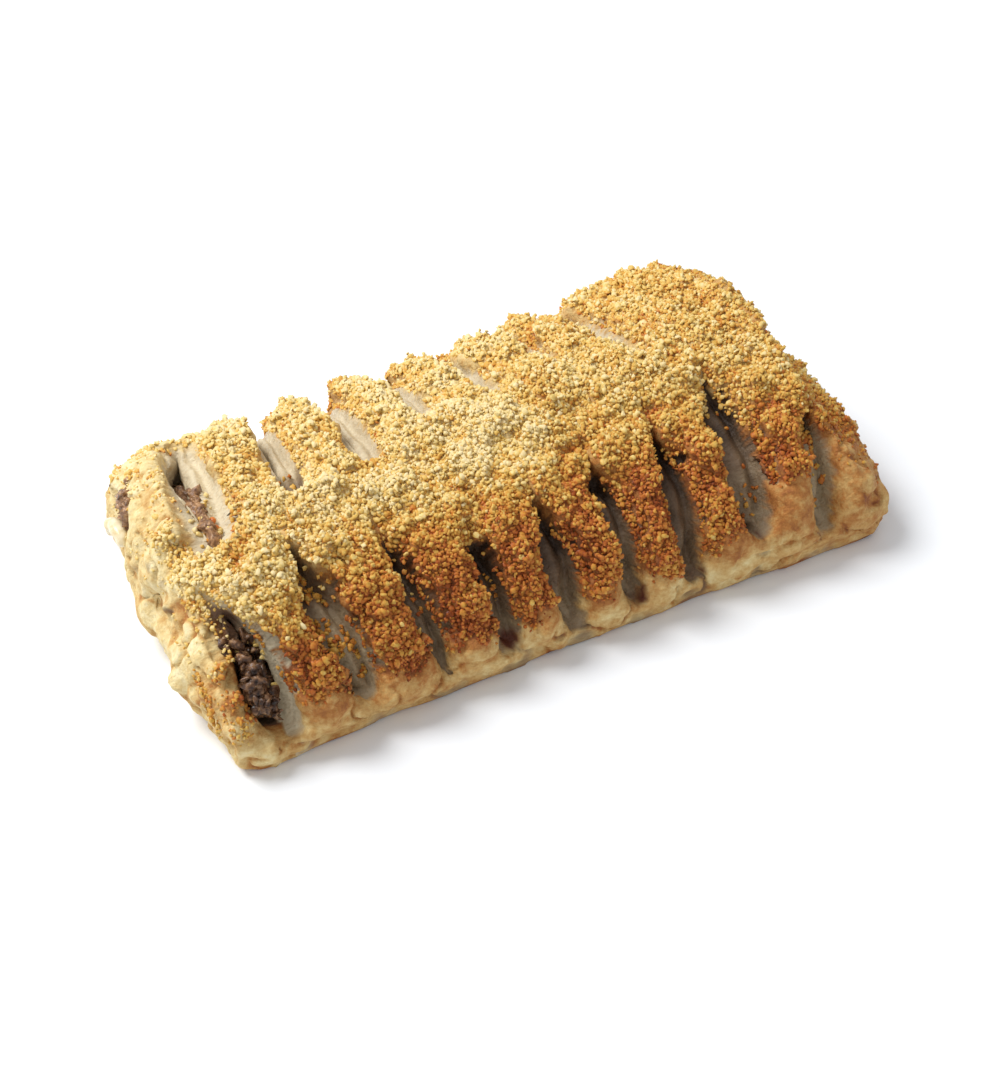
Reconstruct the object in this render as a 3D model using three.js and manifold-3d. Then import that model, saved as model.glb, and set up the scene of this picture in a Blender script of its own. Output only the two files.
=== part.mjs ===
// A meat pasty: a loaf of puff pastry, slit across its top in two staggered rows, with minced meat that
// shows in the slits and at both ends. Lumps of crumb lie on the strips between the slits.
// Millimetres, +Z up. X runs along the loaf, -Y is its front, and it rests on Z = 0.
import * as THREE from "three";
import { mergeVertices } from "three/addons/utils/BufferGeometryUtils.js";
import Module from "manifold-3d";

const wasm = await Module();
wasm.setup();
const { clamp, lerp, smoothstep, degToRad } = THREE.MathUtils;

// The loaf
const LENGTH = 150;
const WIDTH = 83.5; // at mid length
const HEIGHT = 31.5; // of the crest at mid length
const RISE = 0.03; // share by which the crest climbs towards the right end
const LEFT_DROP = 0.12; // share of the height that an end band loses
const RIGHT_DROP = 0.32;
const BAND_START = 0.83; // share of the half length where an end band begins
const BAND_LOW = 0.97; // share where it has lost that height
const WAIST = 0.055; // share by which the ends are wider than the middle
const SAG = 0.1; // share by which the crest is lower at mid length than at the ends
const TAPER = 0.05; // share by which the right end is wider than the left
const CORNER_POWER = 22; // squareness of the corners, seen from above
const EDGE_POWER = 20; // squareness of the ends, seen from the front
const RISE_POWER = 0.625; // fullness of the flanks, seen from an end: upwards and outwards
const REACH_POWER = 1.235;
const FOOT_TUCK = 1.5; // how far the sides draw in at the floor
const END_BULGE = 2.6; // how far an end face swells at its middle
const LAST_RING = 0.985; // share of the half length where the end faces begin
const BASE_SEGMENTS = 4; // segments of a ring that lie on the flat base

// The pastry round the filling
const ROOF = 9.2;
const SIDE_WALL = 9.8;
const END_WALL = 5;
const BASE = 5;
const GAP = 0.4; // clearance between pastry and filling

// The slits: the front row lies at whole places along the loaf, the back row half-way between them.
// A start and a stop say how far down its flank a slit begins and ends: 0 is the crest and 1 the foot.
const FRONT_STARTS = [0.36, 0.26, 0.32, 0.44, 0.42, 0.34, 0.29, 0.2, 0.42];
const BACK_STARTS = [-0.1, -0.06, 0.02, 0.16, 0.16, 0.18, 0.03];
const FRONT_STOPS = [0.965, 0.95, 0.965, 0.965, 0.975, 0.965, 0.965, 0.88, 0.95];
const BACK_STOPS = [0.6, 0.93, 0.93, 0.93, 0.93, 0.93, 0.93];
const FRONT_WIDTHS = [10.4, 7.4, 4.4, 5.2, 5.8, 4.8, 5, 7.2, 6.6];
const BACK_WIDTHS = [10, 5.6, 5.8, 4.2, 4, 3.8, 4.6];
const MIDDLE_PLACE = 4;
const SLIT_OFFSET = -1; // where the middle slit of the front row lies
const SLIT_PITCH = 15.95; // spacing at mid length
const SLIT_SPREAD = 0.093; // how the spacing grows towards both ends
const SLIT_DRIFT = -0.118; // how it grows more towards the left
const SLIT_FAN = 0.132; // share by which slits lean inwards down a flank
const SLIT_DEPTHS = [13.5, 8.4]; // near the left end, where they reach the meat, and elsewhere
const DEEP_PLACES = 2; // slits before this place reach the meat
const SLIT_LEAN = 0.3; // how far a slit leans to the left for each millimetre of depth
const SLIT_FLARES = [0.45, 0.58]; // share by which a slit narrows to its bottom: steep ones and gaping ones
const GAPING_WIDTH = 9; // front slits wider than this gape, and so do those of the back row
const SLIT_SAG = 1.6; // how far down its length a slit is widest: 1 is half-way
const STRIP_PUFF = 2.4; // how far a strip swells between two slits
const STRIP_ROUND = 5; // width over which its edges are rounded
const MEAT_RISES = [-2.6, -6.5]; // how far below the skin meat stands in the first slit of each row

// The open ends
const MOUTH_DEPTH = 30;
const SEAM_TILT = degToRad(12);
const DROP_SIZE = [2.6, 3.8, 2.4];

// The lumps of crumb
const LUMPS = 50;
const LUMP_RADIUS = [1.2, 1.8];
const LUMP_SPACING = 8;
const LUMP_SEED = 8;

const FRONT = -1;
const BACK = 1;

// The crust, the room for the filling and the filling are one loaf shape, drawn in by their walls.
const loafInside = (roof, side, end, base) => ({
  halfLength: LENGTH / 2 - end,
  halfWidth: WIDTH / 2 - side,
  roof,
  base,
});
const crustLoaf = loafInside(0, 0, 0, 0);
const roomLoaf = loafInside(ROOF, SIDE_WALL, END_WALL, BASE);
const meatLoaf = loafInside(ROOF + GAP, SIDE_WALL + GAP, END_WALL + GAP, BASE + GAP);

// Height of the outer crest at x, lower in the two end bands
function crest(x) {
  const share = x / (LENGTH / 2);
  const drop = (x < 0 ? LEFT_DROP : RIGHT_DROP) * smoothstep(Math.abs(share), BAND_START, BAND_LOW);
  return HEIGHT * (1 + RISE * share + SAG * share ** 2) * (1 - drop);
}

// A point of a loaf's skin. turn runs from 0 at the front foot over the crest to PI at the back foot.
function skin(loaf, x, turn) {
  const share = clamp(x / loaf.halfLength, -0.999, 0.999);
  const corner = (1 - Math.abs(share) ** CORNER_POWER) ** (1 / CORNER_POWER);
  const edge = (1 - Math.abs(share) ** EDGE_POWER) ** (2 / EDGE_POWER);
  const wide = loaf.halfWidth * corner * (1 + WAIST * share ** 2 + TAPER * share);
  const tall = (crest(x) - loaf.roof - loaf.base) * edge;
  const across = Math.cos(turn);
  const z = loaf.base + tall * Math.max(Math.sin(turn), 0) ** RISE_POWER;
  const tuck = loaf === crustLoaf ? FOOT_TUCK * (1 - clamp(z / 7, 0, 1)) ** 2 : 0;
  const y = Math.max(wide * Math.abs(across) ** REACH_POWER - tuck, 0);
  return new THREE.Vector3(x, -Math.sign(across) * y, z);
}

// Outward direction of the outer skin, from points close by
function outward(x, turn) {
  const along = skin(crustLoaf, x + 0.5, turn).sub(skin(crustLoaf, x - 0.5, turn));
  const over = skin(crustLoaf, x, turn + 0.02).sub(skin(crustLoaf, x, turn - 0.02));
  return along.cross(over).normalize();
}

// A slow unevenness between -1 and 1, as baked dough has
function ripple(x, y, z) {
  const broad = Math.sin(0.11 * x + 0.21 * z + 0.6) * Math.cos(0.13 * y - 0.05 * x);
  const fine = Math.sin(0.37 * x - 0.29 * y + 1.9) * Math.cos(0.31 * y + 0.43 * z);
  return 0.6 * broad + 0.4 * fine;
}

// sink says how far down a flank a point lies, turn how far round the section.
const turnOf = (side, sink) => (1 + side * sink) * (Math.PI / 2);
const sinkOf = (turn) => Math.abs(turn / (Math.PI / 2) - 1);

function slitX(place, sink) {
  const from = place - MIDDLE_PLACE;
  const atCrest = SLIT_OFFSET + SLIT_PITCH * from + SLIT_DRIFT * from ** 2 + SLIT_SPREAD * from ** 3;
  return atCrest * (1 - SLIT_FAN * sink);
}

const slitRow = (side, firstPlace, starts, stops, widths) =>
  starts.map((start, n) => {
    const place = firstPlace + n;
    const depth = SLIT_DEPTHS[place < DEEP_PLACES ? 0 : 1];
    const flare = SLIT_FLARES[side === BACK || widths[n] > GAPING_WIDTH ? 1 : 0];
    return { place, side, start, stop: stops[n], width: widths[n], depth, flare };
  });
const frontSlits = slitRow(FRONT, 0, FRONT_STARTS, FRONT_STOPS, FRONT_WIDTHS);
const backSlits = slitRow(BACK, 0.5, BACK_STARTS, BACK_STOPS, BACK_WIDTHS);
const slits = [...frontSlits, ...backSlits];

// Distance along X from a point of the skin to the lip of the nearest slit of its flank, below 0 in the slit
function lipDistance(x, turn) {
  const row = turn < Math.PI / 2 ? frontSlits : backSlits;
  const sink = sinkOf(turn);
  return Math.min(...row.map((slit) => Math.abs(x - slitX(slit.place, sink)) - slit.width / 2));
}

// Strips swell between their slits, not along the crest and not at the foot.
function stripSwell(x, turn) {
  const sink = sinkOf(turn);
  const flank = smoothstep(sink, 0.1, 0.4) * (1 - smoothstep(sink, 0.85, 1));
  const toEdge = 1 - clamp(lipDistance(x, turn) / STRIP_ROUND, 0, 1);
  return STRIP_PUFF * flank * (Math.sqrt(1 - toEdge ** 2) - 0.75);
}

// Moves every point of a lathe blank. place gets its radius, its share of the way round and its height.
function shaped(profile, segments, place) {
  const blank = new THREE.LatheGeometry(
    profile.map(([radius, height]) => new THREE.Vector2(radius, height)),
    segments,
  );
  const position = blank.getAttribute("position");
  for (let i = 0; i < position.count; i++) {
    const radius = Math.hypot(position.getX(i), position.getZ(i));
    const angle = Math.atan2(position.getX(i), position.getZ(i)) / (2 * Math.PI);
    const point = place(radius, (angle + 1) % 1, position.getY(i));
    position.setXYZ(i, point.x, point.y, point.z);
  }
  return blank;
}

// A closed geometry as a solid, with its shared points merged and its faces turned outwards
function solidOf(geometry) {
  const bare = geometry.clone();
  bare.deleteAttribute("normal");
  bare.deleteAttribute("uv");
  const merged = mergeVertices(bare, 1e-4);
  const corners = [];
  for (let i = 0; i < merged.index.count; i += 3) {
    const [a, b, c] = [0, 1, 2].map((k) => merged.index.getX(i + k));
    if (a !== b && b !== c && c !== a) corners.push(a, b, c);
  }
  const made = (order) =>
    new wasm.Manifold(
      new wasm.Mesh({
        numProp: 3,
        vertProperties: merged.getAttribute("position").array,
        triVerts: new Uint32Array(order),
      }),
    );
  const solid = made(corners);
  return solid.volume() > 0 ? solid : made(corners.reverse());
}

const joined = (solids) => solids.reduce((all, next) => all.add(next));

// A loaf solid. relief says how far a point of its skin moves outwards.
function loafSolid(loaf, stations, segments, relief) {
  const topShare = 1 - BASE_SEGMENTS / segments; // share of a ring that lies over the top
  const caps = [0, 0.5, 0.82];
  const rings = Array.from({ length: stations + 1 }, (_, i) => [1, (2 * i) / stations - 1]);
  const profile = [
    ...caps.map((radius) => [radius, -1]),
    ...rings,
    ...caps.toReversed().map((radius) => [radius, 1]),
  ];
  const ringPoint = (x, round) => {
    const under = (round - topShare) / (1 - topShare);
    if (under > 1e-6) return skin(loaf, x, Math.PI).lerp(skin(loaf, x, 0), under);
    const turn = (round / topShare) * Math.PI;
    const point = skin(loaf, x, turn);
    point.addScaledVector(outward(x, clamp(turn, 0.05, Math.PI - 0.05)), relief(point, turn));
    point.z = Math.max(point.z, loaf.base);
    return point;
  };
  return solidOf(
    shaped(profile, segments, (radius, round, height) => {
      const x = height * LAST_RING * loaf.halfLength;
      const middle = new THREE.Vector3(x, 0, loaf.base + 0.4 * (crest(x) - loaf.roof - loaf.base));
      const point = middle.lerp(ringPoint(x, round), radius);
      const swollen = (1 - LAST_RING) * loaf.halfLength + (loaf === crustLoaf ? END_BULGE : 0);
      point.x += Math.sign(height) * swollen * (1 - radius ** 2.5);
      return point;
    }),
  );
}

// A wedge along a slit, between two heights above the skin, narrower by trim on each side
function slitWedge({ place, side, start, stop, width, depth, flare }, low, high, trim) {
  const steps = 7;
  const sections = Array.from({ length: steps + 1 }, (_, i) => [1, i / steps]);
  return solidOf(
    shaped([[0, 0], ...sections, [0, 1]], 8, (radius, round, along) => {
      const sink = lerp(start, stop, along);
      const turn = turnOf(side, sink);
      const angle = round * 2 * Math.PI;
      const rise = radius ? lerp(low, high, 0.5 - 0.5 * Math.cos(angle)) : (low + high) / 2;
      const opened = clamp(1 + (flare * rise) / depth, 0.2, 1.3);
      const taper = Math.sin(Math.PI * clamp(along ** SLIT_SAG, 0.03, 0.95)) ** 0.6;
      const half = Math.max((width / 2) * opened * taper - trim, 0.3);
      const swing = half * Math.sign(Math.sin(angle)) * Math.abs(Math.sin(angle)) ** 0.6;
      const x = slitX(place, sink);
      const point = skin(crustLoaf, x, turn).addScaledVector(outward(x, turn), rise);
      point.x += radius * swing + SLIT_LEAN * rise;
      return point;
    }),
  );
}

// An egg-shaped solid, given by its centre, its three half sizes and a turn about X
function egg(centre, halves, segments, turned = 0) {
  const ball = new THREE.SphereGeometry(1, segments, Math.round(segments * 0.6));
  return solidOf(ball.scale(...halves).rotateX(turned).translate(...centre));
}

// Each end gapes in a mouth, and a seam runs from there along the end. Fat drips from the left mouth.
const leftEnd = { x: -LENGTH / 2, y: 24, z: 13.5, halfWidth: 13, halfHeight: 4.6, seam: [-8, 13] };
const rightEnd = { x: LENGTH / 2, y: 4, z: 11, halfWidth: 12, halfHeight: 3.6, seam: [-14, 10] };
const dropCentre = [-LENGTH / 2 - 0.2, 25, 10.3];

const mouthOf = (end) => egg([end.x, end.y, end.z], [MOUTH_DEPTH, end.halfWidth, end.halfHeight], 16);
const seamOf = (end) => egg([end.x, ...end.seam], [3.2, 23, 0.9], 10, SEAM_TILT);
const mouthMeat = (end) =>
  egg([end.x * 0.89, end.y, end.z], [8.4, end.halfWidth - 1.3, end.halfHeight - 1], 12);
const fatDrop = (clearance) => egg(dropCentre, DROP_SIZE.map((size) => size + clearance), 8);

// The largest lumps of crumb, spread over the strips by a seeded draw and clear of the slits
function crumbLumps() {
  let state = LUMP_SEED;
  const draw = (from, to) => {
    state = (state * 16807) % 2147483647;
    return lerp(from, to, state / 2147483647);
  };
  const spots = [];
  const lumps = [];
  while (lumps.length < LUMPS) {
    const x = draw(-0.84, 0.92) * (LENGTH / 2);
    const turn = draw(0.2, 0.8) * Math.PI;
    const size = draw(...LUMP_RADIUS);
    const spot = skin(crustLoaf, x, turn).addScaledVector(outward(x, turn), stripSwell(x, turn));
    const clear = lipDistance(x, turn) > 2 * size;
    const spaced = spots.every((other) => other.distanceTo(spot) > LUMP_SPACING);
    if (clear && spaced) {
      const lump = new THREE.IcosahedronGeometry(size).rotateX(draw(0, 3)).rotateZ(draw(0, 3));
      lumps.push(solidOf(lump.translate(...spot)));
      spots.push(spot);
    }
  }
  return joined(lumps);
}

// The crust is one piece: the loaf with its lumps, less the slits, the ends and the room for the filling.
function pastrySolid() {
  const relief = (point, turn) => stripSwell(point.x, turn) + 0.7 * ripple(point.x, point.y, point.z);
  const loaf = loafSolid(crustLoaf, 40, 32, relief);
  const room = loafSolid(roomLoaf, 20, 18, () => 0);
  const cuts = slits.map((slit) => slitWedge(slit, -slit.depth, 5, 0));
  const ends = [leftEnd, rightEnd].flatMap((end) => [mouthOf(end), seamOf(end)]);
  return loaf.add(crumbLumps()).subtract(joined([room, ...cuts, ...ends, fatDrop(GAP)]));
}

// The filling runs through the loaf, rises in the widest slit of each row and reaches both mouths.
function fillingSolid() {
  const mince = (point) => -0.6 + 0.6 * ripple(3.1 * point.x, 3.4 * point.y, 2.3 * point.z);
  const core = loafSolid(meatLoaf, 20, 18, mince);
  const risen = [frontSlits[0], backSlits[0]]
    .map((slit) => ({ ...slit, start: slit.start + 0.1, stop: slit.stop - 0.08 }))
    .map((slit, row) => slitWedge(slit, 1.2 - slit.depth, MEAT_RISES[row], 1.5));
  return joined([core, ...risen, mouthMeat(leftEnd), mouthMeat(rightEnd), fatDrop(0)]);
}

function meshOf(name, solid, material, shift) {
  const { vertProperties, triVerts } = solid.getMesh();
  const geometry = new THREE.BufferGeometry();
  geometry.setAttribute("position", new THREE.BufferAttribute(new Float32Array(vertProperties), 3));
  geometry.setIndex(new THREE.BufferAttribute(new Uint32Array(triVerts), 1));
  geometry.translate(...shift);
  geometry.computeVertexNormals();
  const mesh = new THREE.Mesh(geometry, material);
  mesh.name = name;
  return mesh;
}

const bakedCrust = new THREE.MeshStandardMaterial({ color: 0xd6a75e, roughness: 0.8, metalness: 0 });
const cookedMince = new THREE.MeshStandardMaterial({ color: 0x573524, roughness: 0.6, metalness: 0 });

// The origin is the middle of the whole pasty's footprint, on the floor.
const pastry = pastrySolid();
const filling = fillingSolid();
const [first, second] = [pastry.boundingBox(), filling.boundingBox()];
const middle = [0, 1].map(
  (k) => (Math.min(first.min[k], second.min[k]) + Math.max(first.max[k], second.max[k])) / 2,
);
const toOrigin = [-middle[0], -middle[1], -first.min[2]];

const pasty = new THREE.Group();
pasty.add(meshOf("pastry", pastry, bakedCrust, toOrigin));
pasty.add(meshOf("filling", filling, cookedMince, toOrigin));

export default pasty;
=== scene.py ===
# %% [markdown]
# # A crumb-topped meat pasty
# A parcel of puff pastry is slit across its top in two staggered rows, rolled in crumbs and baked. The
# oven opens the slits, browns the flanks and pushes minced meat up into the widest gaps. This lesson
# dresses a plain solid model of that parcel: first the camera and the light, then the crust, the meat and
# the crumbs. Every piece is made in place, in the model's own frame, so nothing has to be moved at the
# end.

# %% Load the fixed frame
import math

import bpy
import numpy as np
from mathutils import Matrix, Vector
from mathutils.bvhtree import BVHTree


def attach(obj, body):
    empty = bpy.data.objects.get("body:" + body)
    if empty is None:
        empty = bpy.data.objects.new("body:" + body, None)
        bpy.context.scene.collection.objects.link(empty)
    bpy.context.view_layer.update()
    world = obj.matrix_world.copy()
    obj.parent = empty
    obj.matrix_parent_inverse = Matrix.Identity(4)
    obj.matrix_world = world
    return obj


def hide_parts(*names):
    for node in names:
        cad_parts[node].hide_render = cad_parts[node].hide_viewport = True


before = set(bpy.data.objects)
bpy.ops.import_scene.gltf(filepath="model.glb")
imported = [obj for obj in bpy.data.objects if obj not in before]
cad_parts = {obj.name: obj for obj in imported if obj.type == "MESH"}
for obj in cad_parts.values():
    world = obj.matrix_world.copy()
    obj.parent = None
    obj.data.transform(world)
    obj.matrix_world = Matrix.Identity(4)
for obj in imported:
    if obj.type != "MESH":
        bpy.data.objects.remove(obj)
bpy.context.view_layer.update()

MM = 0.001

# %% [markdown]
# ## The camera
# The pasty is seen over its front left corner, from about 44 degrees up. A camera could be placed by eye,
# but turn, rise and distance around a point on the pasty are easier to correct: each one changes a single
# thing. The lens is slightly long, so that the far end stays nearly as large as the near one.

# %% Camera
LOOK_AT = Vector((-7.8, -19.5, 14)) * MM
LOOK_TURN = math.radians(-28.5)
LOOK_RISE = math.radians(44.4)
LOOK_FROM = 356.8 * MM
LENS = 57.8

to_camera = Vector((
    math.sin(LOOK_TURN) * math.cos(LOOK_RISE),
    -math.cos(LOOK_TURN) * math.cos(LOOK_RISE),
    math.sin(LOOK_RISE),
))
bpy.ops.object.camera_add(
    location=LOOK_AT + LOOK_FROM * to_camera,
    rotation=(math.pi / 2 - LOOK_RISE, 0, LOOK_TURN),
)
camera = bpy.context.object
camera.data.lens = LENS
camera.data.clip_start = 10 * MM
bpy.context.scene.camera = camera
print("camera at", [round(value / MM) for value in camera.location], "mm")

# %% [markdown]
# ## Colours and nodes
# Colours are picked on a screen, in sRGB, while Blender's sockets want linear light. One function turns a
# hex value into a linear colour. A second one adds a shader node: it takes the node's settings, the
# values or links of its inputs, and the stops of a colour ramp, so that a material reads as a short list
# of steps.

# %% Colour and node helpers
def linear(hex_colour):
    shares = [int(hex_colour[i:i + 2], 16) / 255 for i in (1, 3, 5)]
    light = [s / 12.92 if s <= 0.04045 else ((s + 0.055) / 1.055) ** 2.4 for s in shares]
    return (*light, 1)


def add_node(tree, kind, settings=None, inputs=None, stops=None):
    node = tree.nodes.new("ShaderNode" + kind)
    for name, value in (settings or {}).items():
        setattr(node, name, value)
    for name, value in (inputs or {}).items():
        if isinstance(value, bpy.types.NodeSocket):
            tree.links.new(value, node.inputs[name])
        else:
            node.inputs[name].default_value = value
    while stops and len(node.color_ramp.elements) < len(stops):
        node.color_ramp.elements.new(1)
    for element, (place, colour) in zip(node.color_ramp.elements if stops else (), stops or ()):
        element.position = place
        element.color = linear(colour)
    return node


def new_material(name):
    material = bpy.data.materials.new(name)
    material.use_nodes = True
    material.node_tree.nodes.clear()
    return material, material.node_tree


# Scale of a texture whose features are this many millimetres across
def grain(size):
    return 1 / (size * MM)


print("white is", linear("#ffffff"), "and a crust gold is", [round(v, 3) for v in linear("#d6a75e")])

# %% [markdown]
# ## Floor and light
# Food on a white sweep is lit by one big soft source from behind and from the left, which rakes over the
# crumbs, and by a white room that fills the front. An area light and a pale world do the same. The floor
# is a matt white sheet, a touch cool: it sends light back up to the flanks, and the shadow to the front
# right stays a neutral grey although warm light comes back from the crust.

# %% Floor, light and world
FLOOR_SIZE = 4000 * MM
KEY_FROM = Vector((-420, 480, 870)) * MM
KEY_SIZE = 560 * MM
KEY_POWER = 11.2
ROOM_STRENGTH = 0.6

bpy.ops.mesh.primitive_plane_add(size=FLOOR_SIZE)
floor = bpy.context.object
floor.name = "floor"
paper, tree = new_material("matt_white_paper")
fibre = add_node(tree, "TexNoise", None, {"Scale": grain(6), "Detail": 2})
tint = add_node(tree, "ValToRGB", None, {"Fac": fibre.outputs[0]}, [(0, "#f0f3f6"), (1, "#f4f7fa")])
sheet = add_node(tree, "BsdfDiffuse", None, {"Color": tint.outputs["Color"]})
add_node(tree, "OutputMaterial", None, {"Surface": sheet.outputs["BSDF"]})
floor.data.materials.append(paper)

bpy.ops.object.light_add(type="AREA", location=KEY_FROM)
key = bpy.context.object
key.name = "key"
key.data.shape = "DISK"
key.data.size = KEY_SIZE
key.data.energy = KEY_POWER
key.rotation_euler = (-KEY_FROM).to_track_quat("-Z", "Y").to_euler()

room = bpy.data.worlds.new("white_room")
room.use_nodes = True
room.node_tree.nodes["Background"].inputs["Color"].default_value = linear("#fdfdff")
room.node_tree.nodes["Background"].inputs["Strength"].default_value = ROOM_STRENGTH
bpy.context.scene.world = room
bpy.context.scene.view_settings.view_transform = "Standard"
print("key light", round(KEY_FROM.length / MM), "mm away, room strength", ROOM_STRENGTH)

# %% [markdown]
# ## A ruler for the loaf
# Crumbs, browning and flakes all follow the loaf: how far along it a point lies, how far down a flank,
# and how deep below the skin. The solid was drawn from a few sizes, so the same sizes give a ruler.
# `turn` runs from 0 at the front foot over the crest to pi at the back foot, and `sink` from 0 at the
# crest to 1 at either foot.

# %% Loaf ruler
HALF_LENGTH = 75.0
HALF_WIDTH = 41.75
HEIGHT = 31.5
# Shares of the height: climb of the crest to the right end, its sag, and what it loses at the two end bands
RISE = 0.03
SAG = 0.1
LEFT_DROP = 0.12
RIGHT_DROP = 0.32
# Shares of the half length where an end band starts and where it is lowest
BAND_START = 0.83
BAND_LOW = 0.97
# Shares of the width by which both ends are wider than the middle, and the right end than the left
WAIST = 0.055
TAPER = 0.05
# Squareness of the corners from above and of the ends from the front, and fullness of the flanks
CORNER_POWER = 22
EDGE_POWER = 20
RISE_POWER = 0.625
REACH_POWER = 1.235
# How far the sides draw in at the floor, and below what height they do
FOOT_TUCK = 1.5
TUCK_HEIGHT = 7


def smooth_step(value, low, high):
    """From 0 at low to 1 at high."""
    share = np.clip((value - low) / (high - low), 0, 1)
    return share * share * (3 - 2 * share)


def fade_out(value, low, high):
    """From 1 at low to 0 at high."""
    return 1 - smooth_step(value, low, high)


def near(points, spot, inner, outer):
    """1 closer to a spot than inner, and 0 further from it than outer, in millimetres."""
    return fade_out(np.linalg.norm(points - np.array(spot), axis=1), inner, outer)


def section(x):
    """Half width and height of the loaf at x, in millimetres."""
    share = np.clip(x / HALF_LENGTH, -0.999, 0.999)
    drop = np.where(x < 0, LEFT_DROP, RIGHT_DROP) * smooth_step(np.abs(share), BAND_START, BAND_LOW)
    crest = HEIGHT * (1 + RISE * share + SAG * share**2) * (1 - drop)
    corner = (1 - np.abs(share) ** CORNER_POWER) ** (1 / CORNER_POWER)
    edge = (1 - np.abs(share) ** EDGE_POWER) ** (2 / EDGE_POWER)
    return HALF_WIDTH * corner * (1 + WAIST * share**2 + TAPER * share), crest * edge


def skin(x, turn):
    """Points of the loaf's skin, in millimetres."""
    wide, tall = section(x)
    across = np.cos(turn)
    z = tall * np.maximum(np.sin(turn), 0) ** RISE_POWER
    tuck = FOOT_TUCK * (1 - np.clip(z / TUCK_HEIGHT, 0, 1)) ** 2
    y = -np.sign(across) * np.maximum(wide * np.abs(across) ** REACH_POWER - tuck, 0)
    return np.stack([x, y, z], axis=-1)


def outward(x, turn):
    """Unit normals of the skin."""
    along = skin(x + 0.5, turn) - skin(x - 0.5, turn)
    over = skin(x, turn + 0.02) - skin(x, turn - 0.02)
    normal = np.cross(along, over)
    return normal / np.linalg.norm(normal, axis=-1, keepdims=True)


def sink_of(turn):
    """How far down a flank: 0 at the crest and 1 at either foot."""
    return np.abs(turn / (math.pi / 2) - 1)


arc_turns = np.linspace(0.001, math.pi - 0.001, 721)
arc_steps = np.linalg.norm(np.diff(skin(np.zeros(721), arc_turns), axis=0), axis=1)
arc_lengths = np.concatenate([[0], np.cumsum(arc_steps)])
print("the skin measures", round(arc_lengths[-1], 1), "mm from foot to foot")

# %% [markdown]
# ## Slits and unevenness
# Nine slits cross the front flank and seven the back one, half a place further on. Their lines tell the
# crumbs where to stop. Dough and crumbs are never even, so a seeded lattice of random numbers, smoothly
# joined, gives the same soft unevenness on every run.

# %% Slit lines and seeded noise
# The nine slits of the front row come first, then the seven of the back row, both from left to right.
# Each has a place along the loaf, a width in mm, the sink at which it starts and the one at which it stops
FRONT_SLITS = 9
SLIT_PLACES = np.concatenate([np.arange(9), np.arange(7) + 0.5])
SLIT_WIDTHS = np.array([10.4, 7.4, 4.4, 5.2, 5.8, 4.8, 5, 7.2, 6.6] + [10, 5.6, 5.8, 4.2, 4, 3.8, 4.6])
SLIT_STARTS = np.array(
    [0.36, 0.26, 0.32, 0.44, 0.42, 0.34, 0.29, 0.2, 0.42] + [-0.2, -0.06, 0.02, 0.16, 0.16, 0.18, 0.03]
)
SLIT_STOPS = np.array([0.965, 0.95, 0.965, 0.965, 0.975, 0.965, 0.965, 0.88, 0.95] + [0.6] + [0.93] * 6)
# How much wider each one gapes after baking, and half the width in mm of the crack above its upper end
GAPES = np.array([1, 1.1, 1.1, 1.15, 1.3, 1.4, 1.35, 1.3, 1.1] + [1.15] * 7)
CRACK = 0.5
# From places to x at the crest: x of the middle slit, spacing there, its growth to the left and to both ends
MIDDLE_PLACE = 4
SLIT_OFFSET = -1
SLIT_PITCH = 15.95
SLIT_DRIFT = -0.118
SLIT_SPREAD = 0.093
# Share by which slits lean inwards down a flank, and how far left of its line a slit has opened
SLIT_FAN = 0.132
LIP_SHIFT = 0.5
lattice = np.random.default_rng(41).random((32, 32, 32)) * 2 - 1


def slit_sink(turn, slit):
    """Sink down the slit's own flank, below 0 past the crest."""
    return (turn / (math.pi / 2) - 1) * np.where(slit < FRONT_SLITS, -1, 1)


def slit_x(place, sink):
    """x of the line of a slit, at a sink."""
    part = place - MIDDLE_PLACE
    at_crest = SLIT_OFFSET + SLIT_PITCH * part + SLIT_DRIFT * part**2 + SLIT_SPREAD * part**3
    return at_crest * (1 - SLIT_FAN * sink)


def half_width(slit, sink, sag, blunt):
    """Half the width of a slit, narrowing to its two ends: slowly, or all at once where blunt is small."""
    along = (sink - SLIT_STARTS[slit]) / (SLIT_STOPS[slit] - SLIT_STARTS[slit])
    ends = smooth_step(along, 0, 0.05) * fade_out(along, 0.97, 1)
    bow = np.sin(math.pi * np.clip(np.maximum(along, 0) ** sag, 0.03, 0.95)) ** blunt
    return SLIT_WIDTHS[slit] / 2 * ends * bow


def baked_half_width(slit, sink):
    """Half the width of a slit after baking, with a thin crack that runs on above its upper end."""
    in_front = slit < FRONT_SLITS
    below = sink - SLIT_STARTS[slit]
    crack = CRACK * smooth_step(below, -0.1, -0.05) * fade_out(sink, 0.8, 0.85) * in_front
    pointed = half_width(slit, sink, 1.25, 0.3) * (0.45 + 0.55 * smooth_step(below, 0, 0.25))
    gaping = np.where(in_front, pointed, half_width(slit, sink, 0.7, 0.2))
    return np.maximum(GAPES[slit] * gaping, crack)


def nearest_slit(x, turn):
    """Signed way along x to the middle of the flank's nearest slit, the way to its lip, and its number."""
    lip = np.full(len(x), 1e3)
    across = np.full(len(x), 1e3)
    number = np.zeros(len(x), int)
    for slit, place in enumerate(SLIT_PLACES):
        sink = slit_sink(turn, slit)
        gap = np.where(sink > min(0, SLIT_STARTS[slit]), x - slit_x(place, sink) + LIP_SHIFT, 1e3)
        to_lip = np.abs(gap) - baked_half_width(slit, sink)
        closer = to_lip < lip
        lip = np.where(closer, to_lip, lip)
        across = np.where(closer, gap, across)
        number = np.where(closer, slit, number)
    return across, lip, number


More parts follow.
